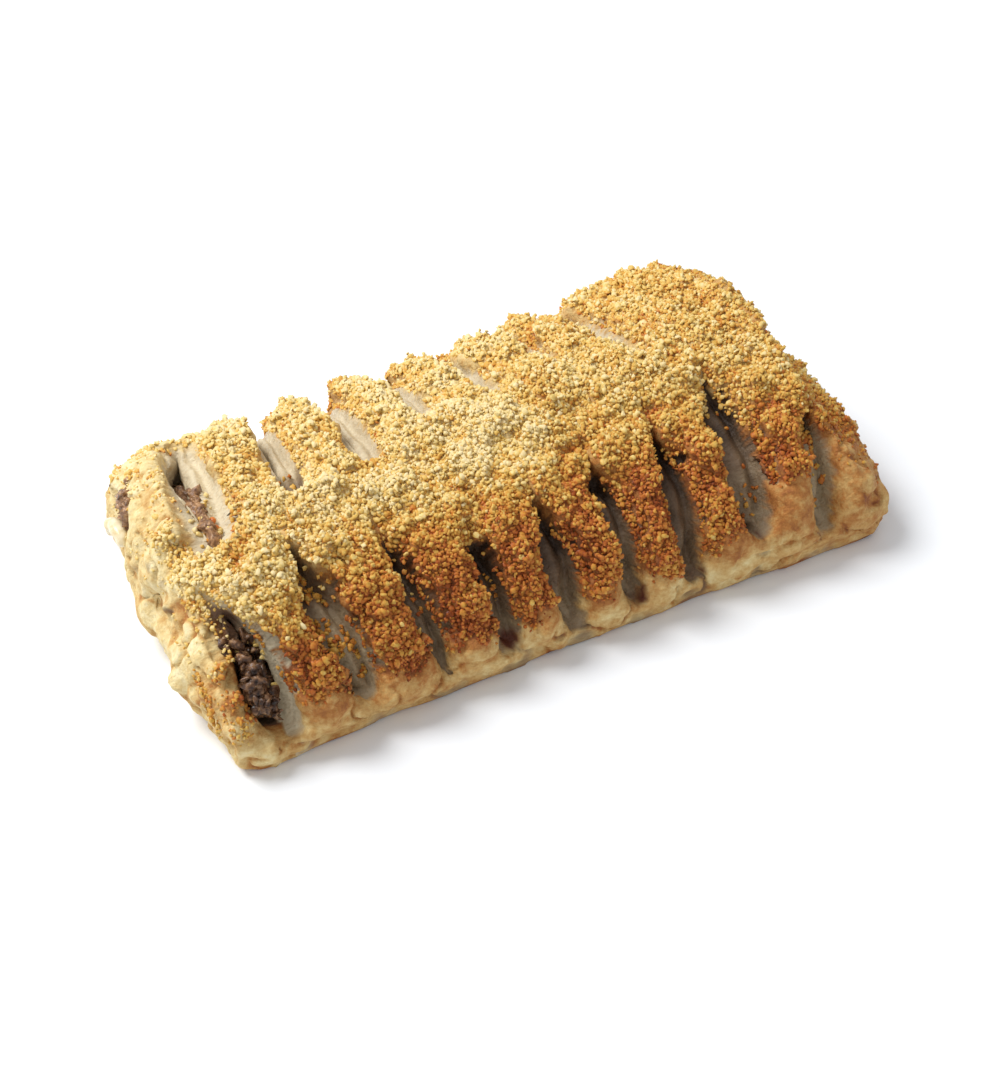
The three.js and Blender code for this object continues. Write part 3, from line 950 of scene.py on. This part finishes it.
# %% [markdown]
# ## The tucked corner
# At the back left corner the parcel was pressed in before baking. Crust and meat are both drawn in there
# by a few millimetres, most at the corner itself.

# %% Tuck the corner
CORNER = (-77, 28, 13)
CORNER_TUCK = 2.6


def tuck_corner(mesh):
    """Draw in what lies near the corner."""
    points = read_points(mesh)
    points[:, 0] += CORNER_TUCK * near(points, CORNER, 4, 20)
    write_points(mesh, points)


tuck_corner(crust.data)
print("corner drawn in by", CORNER_TUCK, "mm")

# %% [markdown]
# ## The meat
# Minced meat is a mass of soft grains a few millimetres across, bound by gravy. A copy of the filling
# solid is remeshed, and two rounds of noise push its skin in and out by the size of the grains. A map
# tells where gravy has soaked and darkened it: in the wide slit at the front left, where it spreads up to
# the left lip. In the other slits it has sunk in.

# %% Filling shape
MEAT_VOXEL = 0.8
# How far the meat has sunk in the slits, and how far it spreads to the left in the first one, in mm
HOLLOW = 3
SPREAD = 1.8


def gravy_soak(points):
    """1 where gravy soaked the meat, at the front left, and 0 elsewhere."""
    return fade_out(points[:, 0], -44, -36) * fade_out(points[:, 1], -12, -4)


meat = copy_of_solid("filling", "mince")
apply_modifier(meat, "REMESH", mode="VOXEL", voxel_size=MEAT_VOXEL * MM)
points = read_points(meat.data)
normals = read_points(meat.data, "normal")
lumps = 0.8 * np.abs(unevenness(points, 2.6)) + 0.5 * unevenness(points, 1.4)
points += normals * (0.9 * lumps - 0.4)[:, None]
turn, depth = loaf_place(points)
across, _, number = nearest_slit(points[:, 0], turn)
shallow = fade_out(depth, 5, 11) * (np.abs(points[:, 0]) < 73)
points[:, 2] -= HOLLOW * shallow * np.where(number > 0, 1, smooth_step(across, -0.5, 2))
points[:, 0] -= SPREAD * shallow * (number == 0) * smooth_step(-across, 0, 3) * (turn < math.pi / 2)
write_points(meat.data, points)
write_values(meat.data, "soak", gravy_soak(points))
tuck_corner(meat.data)
select_only(meat)
bpy.ops.object.shade_smooth()
print("meat points:", len(points))

# %% [markdown]
# ## Cooked mince
# Browned mince is brown with redder and greyer grains, nearly black where gravy baked on, and the gravy
# gives small sharp glints. Colour comes from noise at grain size, gloss from a low roughness that varies
# with it.

# %% Meat material
mince, tree = new_material("cooked_mince_in_gravy")
spot = add_node(tree, "TexCoord").outputs["Object"]
soak = add_node(tree, "Attribute", {"attribute_name": "soak"}).outputs["Fac"]
# Grains and the fibres in them
grains = add_node(tree, "TexVoronoi", {"feature": "SMOOTH_F1"}, {
    "Vector": spot, "Scale": grain(2.2), "Smoothness": 0.4,
})
fibres = add_node(tree, "TexNoise", None, {"Vector": spot, "Scale": grain(1.1), "Detail": 5})
# Brown meat, and nearly black where gravy soaked it
dry = add_node(tree, "ValToRGB", None, {"Fac": fibres.outputs[0]}, [
    (0.3, "#5e4130"), (0.46, "#8a664a"), (0.6, "#b1875f"), (0.74, "#cda782"),
])
wet = add_node(tree, "ValToRGB", None, {"Fac": fibres.outputs[0]}, [
    (0.32, "#24160d"), (0.48, "#503524"), (0.6, "#7d5b3f"), (0.74, "#ad8a63"),
])
colour = add_node(tree, "Mix", {"data_type": "RGBA"}, {0: soak, 6: dry.outputs[0], 7: wet.outputs[0]})
# Glints of gravy over a relief of grains
gloss = add_node(tree, "MapRange", None, {"Value": fibres.outputs[0], "To Min": 0.08, "To Max": 0.34})
height = add_node(tree, "Math", {"operation": "SUBTRACT"}, {
    0: fibres.outputs[0], 1: grains.outputs["Distance"],
})
relief = add_node(tree, "Bump", None, {"Height": height.outputs[0], "Strength": 0.7, "Distance": 0.6 * MM})
meat_shader = add_node(tree, "BsdfPrincipled", None, {
    "Base Color": colour.outputs[2], "Roughness": gloss.outputs[0],
    "Normal": relief.outputs[0], "IOR": 1.42,
})
add_node(tree, "OutputMaterial", None, {"Surface": meat_shader.outputs[0]})
meat.data.materials.append(mince)
ride_and_slot(meat, "filling")

# %% [markdown]
# ## A crumb to copy
# The crumbs are uneven granules of dried bread, a little under a millimetre across. Thousands are needed,
# so each has few faces: a cube, divided once and cast towards a ball, has 24. Fine crumbs are
# twenty-sided. Two dozen dented versions of each, turned and stretched at random, are enough for the eye
# to find no repeats.

# %% Crumb templates
DENTED_VERSIONS = 24
DENT = 0.26
draw = np.random.default_rng(77)


def crumb_template(add_primitive, rounded):
    """Dented versions of a primitive, its faces, and its UV corners."""
    bpy.ops.object.select_all(action="DESELECT")
    add_primitive()
    blank = bpy.context.object
    if rounded:
        bpy.ops.object.mode_set(mode="EDIT")
        bpy.ops.mesh.subdivide(number_cuts=1)
        bpy.ops.object.mode_set(mode="OBJECT")
        apply_modifier(blank, "CAST", factor=0.75, cast_type="SPHERE")
    mesh = blank.data
    base = np.array([vertex.co[:] for vertex in mesh.vertices])
    base /= np.linalg.norm(base, axis=1).mean()
    faces = np.array([face.vertices[:] for face in mesh.polygons])
    corners = np.array([loop.uv[:] for loop in mesh.uv_layers.active.data])
    dents = 1 + DENT * draw.standard_normal((DENTED_VERSIONS, len(base), 1)).clip(-2, 2)
    bpy.data.objects.remove(blank)
    return base * dents, faces, corners


def add_cube():
    bpy.ops.mesh.primitive_cube_add(size=1)


def add_ball():
    bpy.ops.mesh.primitive_ico_sphere_add(subdivisions=1, radius=1)


granule = crumb_template(add_cube, True)
speck = crumb_template(add_ball, False)
print("faces of a granule:", len(granule[1]), "and of a speck:", len(speck[1]))

# %% [markdown]
# ## Many small things as arrays
# Thousands of crumbs are too many objects, so each kind becomes one mesh. Every crumb is a dented
# version, turned, stretched and set down by array arithmetic, and gets its own small cell of the UV map.

# %% Scatter helpers
def random_turns(count):
    """Rotation matrices, evenly spread."""
    q = draw.standard_normal((count, 4))
    w, a, b, c = (q / np.linalg.norm(q, axis=1, keepdims=True)).T
    rows = [
        [1 - 2 * (b * b + c * c), 2 * (a * b - c * w), 2 * (a * c + b * w)],
        [2 * (a * b + c * w), 1 - 2 * (a * a + c * c), 2 * (b * c - a * w)],
        [2 * (a * c - b * w), 2 * (b * c + a * w), 1 - 2 * (a * a + b * b)],
    ]
    return np.moveaxis(np.array(rows), 2, 0)


def shaped_copies(template, centres, radii, stretch=(0.6, 1.45)):
    """Points of every copy, one row of points for each."""
    shapes = template[0]
    count = len(centres)
    longer = draw.uniform(*stretch, (count, 1, 3))
    local = shapes[draw.integers(0, DENTED_VERSIONS, count)] * longer * radii[:, None, None]
    return np.einsum("nij,nvj->nvi", random_turns(count), local) + centres[:, None]


def faces_of_copies(template, count):
    """Faces of all copies, by the numbers of their points."""
    faces, points_each = template[1], template[0].shape[1]
    return (faces[None] + (np.arange(count) * points_each)[:, None, None]).reshape(-1, faces.shape[1])


def joined_piece(name, template, copies, tint_name, tints, material):
    """One mesh of all copies, with a tint on each."""
    count = len(copies)
    mesh = bpy.data.meshes.new(name)
    mesh.from_pydata((copies.reshape(-1, 3) * MM).tolist(), [], faces_of_copies(template, count).tolist())
    write_values(mesh, tint_name, np.repeat(tints, copies.shape[1]))
    cells = math.ceil(math.sqrt(count))
    cell = np.stack([np.arange(count) % cells, np.arange(count) // cells], axis=1)
    uv = (cell[:, None] + 0.05 + 0.9 * template[2][None]) / cells
    mesh.uv_layers.new(name="OFBake").data.foreach_set("uv", uv.astype(np.float32).ravel())
    mesh.materials.append(material)
    piece = bpy.data.objects.new(name, mesh)
    bpy.context.scene.collection.objects.link(piece)
    select_only(piece)
    bpy.ops.object.shade_smooth()
    ride_and_slot(piece)
    return piece


# %% [markdown]
# ## Dropping things on the loaf
# From a place above the skin, a ray is sent straight down to it. What the ray meets first is where a
# crumb comes to rest: crust, meat or a crumb that lies there already. A ray that falls deep has gone into
# a slit.

# %% Places and landing
# How far above the skin a ray starts and how far it goes, in mm
RAY_START = 6
RAY_LENGTH = 25

crust_tree = BVHTree.FromObject(crust, bpy.context.evaluated_depsgraph_get())
meat_tree = BVHTree.FromObject(meat, bpy.context.evaluated_depsgraph_get())


def land(x, turn, trees):
    """Where rays from above the skin come to rest: points, normals, fall below the skin, tree met."""
    out = outward(x, turn)
    start = skin(x, turn) + out * baked_swell(x, turn)[:, None]
    found, facing = np.zeros_like(start), np.zeros_like(start)
    met = np.full(len(x), -1)
    for i, (place, normal) in enumerate(zip(start, out)):
        above = Vector((place + RAY_START * normal) * MM)
        nearest = RAY_LENGTH * MM
        for which, tree in enumerate(trees):
            hit, hit_normal, _, reach = tree.ray_cast(above, Vector(-normal), nearest)
            if hit:
                nearest = reach
                found[i] = np.array(hit) / MM
                facing[i] = hit_normal
                met[i] = which
    fall = np.einsum("ij,ij->i", start - found, out)
    return found, facing, fall, met


# %% [markdown]
# ## Mince that stands proud
# In the widest slit of each row and in the mouth at the left end, single grains of mince show. They are
# the same dented granule, larger and longer. In the slits they are dropped on what lies open to the sky,
# and in the mouth rays from the left find their places.

# %% Mince grains
FRONT_GRAINS, BACK_GRAINS = 150, 90
LOW_MOUTH_GRAINS, HIGH_MOUTH_GRAINS = 90, 100

in_front = np.arange(FRONT_GRAINS + BACK_GRAINS) < FRONT_GRAINS
sinks = np.concatenate([draw.uniform(0.42, 0.9, FRONT_GRAINS), draw.uniform(-0.14, 0.3, BACK_GRAINS)])
turn = (math.pi / 2) * np.where(in_front, 1 - sinks, 1 + sinks)
beside = np.where(in_front, draw.uniform(-4.5, 0.6, len(sinks)), draw.normal(-1, 0.6, len(sinks)))
x = slit_x(np.where(in_front, 0.0, 0.5), sinks) + beside
found, _, fall, met = land(x, turn, [crust_tree, meat_tree])
open_meat = np.where(in_front, (met == 1) | (fall > 3), (met >= 0) & (fall > 2.5)) & (fall < 9)

low_mouth = draw.uniform((13, 9.5), (34, 17), (LOW_MOUTH_GRAINS, 2))
high_mouth = draw.normal((18.5, 21.5), (2.6, 1.5), (HIGH_MOUTH_GRAINS, 2))
mouth = []
for y, z in np.concatenate([low_mouth, high_mouth]):
    start = Vector((-95, y, z)) * MM
    hits = [tree.ray_cast(start, Vector((1, 0, 0)), 30 * MM)[0] for tree in (crust_tree, meat_tree)]
    wall, hit = (hit.x / MM if hit else 0 for hit in hits)
    if hit < wall or z > 18:
        mouth.append([min(hit, wall), y, z])

centres = np.concatenate([found[open_meat], np.array(mouth).reshape(-1, 3)])
radii = draw.uniform(0.4, 1.2, len(centres))
copies = shaped_copies(granule, centres, radii, (0.4, 1.8))
joined_piece("mince_grains", granule, copies, "soak", gravy_soak(centres), mince)
print("grains in slits:", int(open_meat.sum()), "and in the mouth:", len(mouth))

# %% [markdown]
# ## Toasted crumb
# A crumb that was toasted in fat has a soft, weak sheen: its roughness is moderate and its index of
# refraction low, so that the white room doesn't grey the gaps between crumbs. Its colour follows how far
# it was toasted: cream, then yellow gold, then amber and brown. The number is stored on each crumb,
# together with painted shade on undersides, in creases and in lower layers, and fine noise breaks it up.

# %% Crumb material
toasted, tree = new_material("toasted_bread_crumb")
spot = add_node(tree, "TexCoord").outputs["Object"]
toast_and_shade = add_node(tree, "Attribute", {"attribute_name": "toast_and_shade"}).outputs["Fac"]
# Toasting with small pits that are paler or browner
pits = add_node(tree, "TexNoise", None, {"Vector": spot, "Scale": grain(0.7), "Detail": 3})
shift = add_node(tree, "MapRange", None, {
    "Value": pits.outputs[0], "From Min": 0.3, "From Max": 0.7, "To Min": -0.09, "To Max": 0.09,
})
level = add_node(tree, "Math", {"operation": "ADD", "use_clamp": True}, {0: toast_and_shade, 1: shift.outputs[0]})
colour = add_node(tree, "ValToRGB", None, {"Fac": level.outputs[0]}, [
    (0.0, "#eed9a6"), (0.16, "#e4c87e"), (0.3, "#d9b058"), (0.45, "#cf953f"),
    (0.6, "#bf7030"), (0.78, "#984b20"), (1.0, "#5e2e13"),
])
relief = add_node(tree, "Bump", None, {"Height": pits.outputs[0], "Strength": 0.4, "Distance": 0.25 * MM})
crumb_shader = add_node(tree, "BsdfPrincipled", None, {
    "Base Color": colour.outputs[0], "Roughness": 0.4, "Normal": relief.outputs[0], "IOR": 1.27,
})
add_node(tree, "OutputMaterial", None, {"Surface": crumb_shader.outputs[0]})
print("crumb material:", toasted.name)

# %% [markdown]
# ## Layers of crumbs
# The first layer is pressed into the crust, on a jittered grid that leaves no bald spots. The next ones
# are dropped on what already lies there, most of them on the clumps. Crumbs hang a little over the lips
# of the front slits, and where a ray falls deep none stays, so the slits keep clear edges.

# %% Lay the crumbs
# Spacing and typical radius in mm, how far a crumb sinks in, how much it keeps to clumps, template, and a
# shift of toasting that paints shade: browner low layers, a paler top one
LAYERS = (
    (0.66, 0.39, 0.55, 0.0, speck, 0.1),
    (0.77, 0.37, 0.5, 0.4, speck, 0.01),
    (1.2, 0.41, 0.5, 0.7, granule, -0.05),
)
# Limits of a radius in mm
SMALLEST, LARGEST = 0.24, 0.62
# Share of their size that sprinkled crumbs have
SPRINKLED_SIZE = 0.8


def jittered(spacing):
    """Places on a grid over the loaf, each moved at random within its cell, as x and turn."""
    along = np.arange(-76, 76, spacing)
    over = np.arange(1, arc_lengths[-1] - 1, spacing)
    grid = np.stack(np.meshgrid(along, over, indexing="ij"), axis=-1).reshape(-1, 2)
    grid += draw.uniform(-0.5, 0.5, grid.shape) * spacing
    return grid[:, 0], np.interp(grid[:, 1], arc_lengths, arc_turns)


def tree_of_copies(template, copies):
    return BVHTree.FromPolygons(
        (copies.reshape(-1, 3) * MM).tolist(), faces_of_copies(template, len(copies)).tolist()
    )


def toast_and_shade_of(centres, turn, extra):
    """How far each crumb is toasted, by its place and by chance, plus painted shade: darker in the creases
    between clumps, and by layer.
    """
    own = draw.normal(extra, 0.08, len(centres)) - 0.1 * (draw.random(len(centres)) < 0.1)
    # Painted shade: crumbs in the creases between clumps are darker
    creases = 0.18 * fade_out(clumps(centres), -0.9, -0.1)
    return np.clip(browning_and_shade(centres, turn) + own + creases, 0.02, 1)


trees = [crust_tree]
granules, specks = [], []
for spacing, typical, sunk, clumped, template, extra in LAYERS:
    x, turn = jittered(spacing)
    ground = skin(x, turn)
    _, lip, number = nearest_slit(x, turn)
    chance = crumb_cover(ground, turn) * (1 - clumped * fade_out(clumps(ground), -0.3, 0.3))
    # Crumbs hang over the lips of the front slits, by less where a slit is narrow
    half = baked_half_width(number, slit_sink(turn, number))
    on_strip = lip > np.where(number < FRONT_SLITS, -0.4 * np.clip(half / 2, 0.35, 1), 0)
    likely = on_strip & (draw.random(len(x)) < chance)
    x, turn = x[likely], turn[likely]
    rest, _, fall, met = land(x, turn, trees)
    # None stays where its ray fell deep. Near the ends the crust is lower than the ruler, so more is allowed
    stays = (met >= 0) & (fall < np.where((x < -66) | (x > 58), 6, 3.2))
    x, turn, rest = x[stays], turn[stays], rest[stays]
    sprinkled = crumb_cover(rest, turn) < 0.8
    radii = typical * np.exp(draw.normal(0, 0.25, len(x))) * np.where(sprinkled, SPRINKLED_SIZE, 1)
    radii = np.clip(radii, SMALLEST, LARGEST)
    centres = rest + outward(x, turn) * (radii * (0.8 - sunk))[:, None]
    copies = shaped_copies(template, centres, radii)
    batch = (copies, toast_and_shade_of(centres, turn, extra), outward(x, turn))
    (granules if template is granule else specks).append(batch)
    trees.append(tree_of_copies(template, copies))
    print("layer of", len(x), "crumbs")

# %% [markdown]
# ## Sorting by colour
# As if sorted into tins, the crumbs become one piece for each degree of toasting, from cream to brown. A
# crumb lets some light through, so its shadow side is never dark. Turning its shading normals part of the
# way to those of the loaf gives the same soft modelling. Its underside is painted a little darker than
# its top: painted shade on the side that faces the loaf.

# %% Crumb pieces
SOFTENED = 0.45
SHADED_BELOW = 0.15
COARSE_TINS = ("crumbs_coarse_pale", "crumbs_coarse_brown")
FINE_TINS = ("crumbs_cream", "crumbs_yellow", "crumbs_golden", "crumbs_brown")


def soften(mesh, directions, toasts):
    """Turn shading normals towards the loaf's own, and paint the undersides darker than the tops: painted
    shade.
    """
    normals = read_points(mesh, "normal")
    upward = np.einsum("ij,ij->i", normals, directions)
    # Undersides get painted shade
    write_values(mesh, "toast_and_shade", np.clip(toasts - SHADED_BELOW * upward, 0, 1))
    mixed = normals * (1 - SOFTENED) + directions * SOFTENED
    mesh.normals_split_custom_set_from_vertices(mixed / np.linalg.norm(mixed, axis=1, keepdims=True))


def sorted_pieces(names, template, batches):
    copies, toasts, out = (np.concatenate(column) for column in zip(*batches))
    each = copies.shape[1]
    order = np.argsort(toasts, kind="stable")
    for name, tin in zip(names, np.array_split(order, len(names))):
        piece = joined_piece(name, template, copies[tin], "toast_and_shade", toasts[tin], toasted)
        soften(piece.data, np.repeat(out[tin], each, axis=0), np.repeat(toasts[tin], each))


sorted_pieces(COARSE_TINS, granule, granules)
sorted_pieces(FINE_TINS, speck, specks)

# %% [markdown]
# ## Crumbs that fell
# Some crumbs roll into the open slits while the pasty is handled. They lie on the walls and on the meat.

# %% Fallen crumbs
# Number of the slit, first and last sink, how many crumbs are thrown in, and how toasted they are
FALLEN = (
    (0, 0.45, 0.92, 70, 0.2), (1, 0.35, 0.9, 240, 0.45), (2, 0.5, 0.9, 20, 0.5), (3, 0.6, 0.92, 20, 0.5),
    (7, 0.3, 0.84, 26, 0.5), (8, 0.5, 0.9, 20, 0.45), (9, -0.15, 0.3, 60, 0.25), (10, 0.0, 0.2, 16, 0.4),
)

fallen, fallen_toasts = [], []
for slit, first, last, count, toasting in FALLEN:
    sink = draw.uniform(first, last, count)
    turn = (math.pi / 2) * (1 - sink if slit < FRONT_SLITS else 1 + sink)
    half = baked_half_width(slit, sink)
    x = slit_x(SLIT_PLACES[slit], sink) - LIP_SHIFT + half * draw.uniform(-0.9, 0.6, count)
    rest, facing, fall, met = land(x, turn, [crust_tree, meat_tree])
    down = (met >= 0) & (fall > 1) & (fall < 12) & (unevenness(rest, 3) > -0.25)
    radii = draw.uniform(0.3, 0.6, count)
    centres = rest + facing * (0.4 * radii)[:, None]
    fallen.append(shaped_copies(granule, centres[down], radii[down]))
    fallen_toasts.append(np.clip(draw.normal(toasting, 0.1, int(down.sum())), 0, 1))
copies, toasts = np.concatenate(fallen), np.concatenate(fallen_toasts)
joined_piece("crumbs_fallen", granule, copies, "toast_and_shade", toasts, toasted)

# %% [markdown]
# ## Soft blobs
# Fat and a few bits of carrot are small soft shapes. Each starts as a few stretched balls. A voxel remesh
# melts them into one skin and smoothing takes the last edges away. Both are smooth and moist, with a
# colour that drifts in soft clouds, so they share one way of making a material too.

# %% Blob helpers
def blob(name, balls, voxel):
    """One soft piece from balls, each given by its place and its three radii in millimetres."""
    made = []
    for place, radii in balls:
        bpy.ops.object.select_all(action="DESELECT")
        bpy.ops.mesh.primitive_uv_sphere_add(segments=24, ring_count=12, location=Vector(place) * MM)
        made.append(bpy.context.object)
        made[-1].scale = Vector(radii) * MM
    for ball in made:
        ball.select_set(True)
    bpy.context.view_layer.objects.active = made[0]
    bpy.ops.object.join()
    bpy.ops.object.transform_apply(location=True, rotation=True, scale=True)
    piece = bpy.context.object
    piece.name = name
    apply_modifier(piece, "REMESH", mode="VOXEL", voxel_size=voxel * MM)
    apply_modifier(piece, "SMOOTH", factor=0.5, iterations=4)
    bpy.ops.object.shade_smooth()
    return piece


def clouded(name, size, stops, roughness):
    """A wet material whose colour drifts in clouds of this size in millimetres."""
    material, tree = new_material(name)
    spot = add_node(tree, "TexCoord").outputs["Object"]
    cloud = add_node(tree, "TexNoise", None, {"Vector": spot, "Scale": grain(size), "Detail": 3})
    colour = add_node(tree, "ValToRGB", None, {"Fac": cloud.outputs[0]}, stops)
    shader = add_node(tree, "BsdfPrincipled", None, {"Base Color": colour.outputs[0], "Roughness": roughness})
    add_node(tree, "OutputMaterial", None, {"Surface": shader.outputs[0]})
    return material


# %% [markdown]
# ## The drip of fat
# Fat that melted out of the mouth at the left end has set again as a pale glossy drip. It is creamy,
# almost without grain, with soft highlights.

# %% Fat drip
DRIP_BALLS = (
    ((-76.2, 16.4, 19), (1.7, 3.8, 1.5)),
    ((-76.8, 19.2, 18.2), (1.4, 1.9, 1.4)),
    ((-76.5, 13.8, 18.2), (1.2, 1.7, 1.2)),
    ((-77.1, 19.8, 16.4), (0.9, 1, 1.5)),
)
drip = blob("fat_drip", DRIP_BALLS, 0.35)
drip.data.materials.append(clouded("set_fat", 2, [(0.35, "#d9c393"), (0.6, "#efe3c2")], 0.25))
ride_and_slot(drip)

# %% [markdown]
# ## Carrot
# Two bits of carrot from the filling lie at the near end of the widest back slit. They are orange, a
# little browned, and glisten like the fat.

# %% Carrot bits
def on_top(x, y, reach):
    """The point of crust or meat straight below a place above the pasty."""
    start = Vector((x, y, 60)) * MM
    hits = [tree.ray_cast(start, Vector((0, 0, -1)))[0] for tree in (crust_tree, meat_tree)]
    return (x, y, max(hit.z for hit in hits if hit) / MM + reach)


CARROT_BALLS = (
    (on_top(-61.2, -1.2, 0.3), (1.0, 0.7, 0.7)),
    (on_top(-60.6, 1.6, 0.3), (0.7, 0.9, 0.6)),
)
carrots = blob("carrot_bits", CARROT_BALLS, 0.2)
carrots.data.materials.append(clouded("cooked_carrot", 0.8, [(0.35, "#b8581a"), (0.65, "#e08a34")], 0.35))
ride_and_slot(carrots)
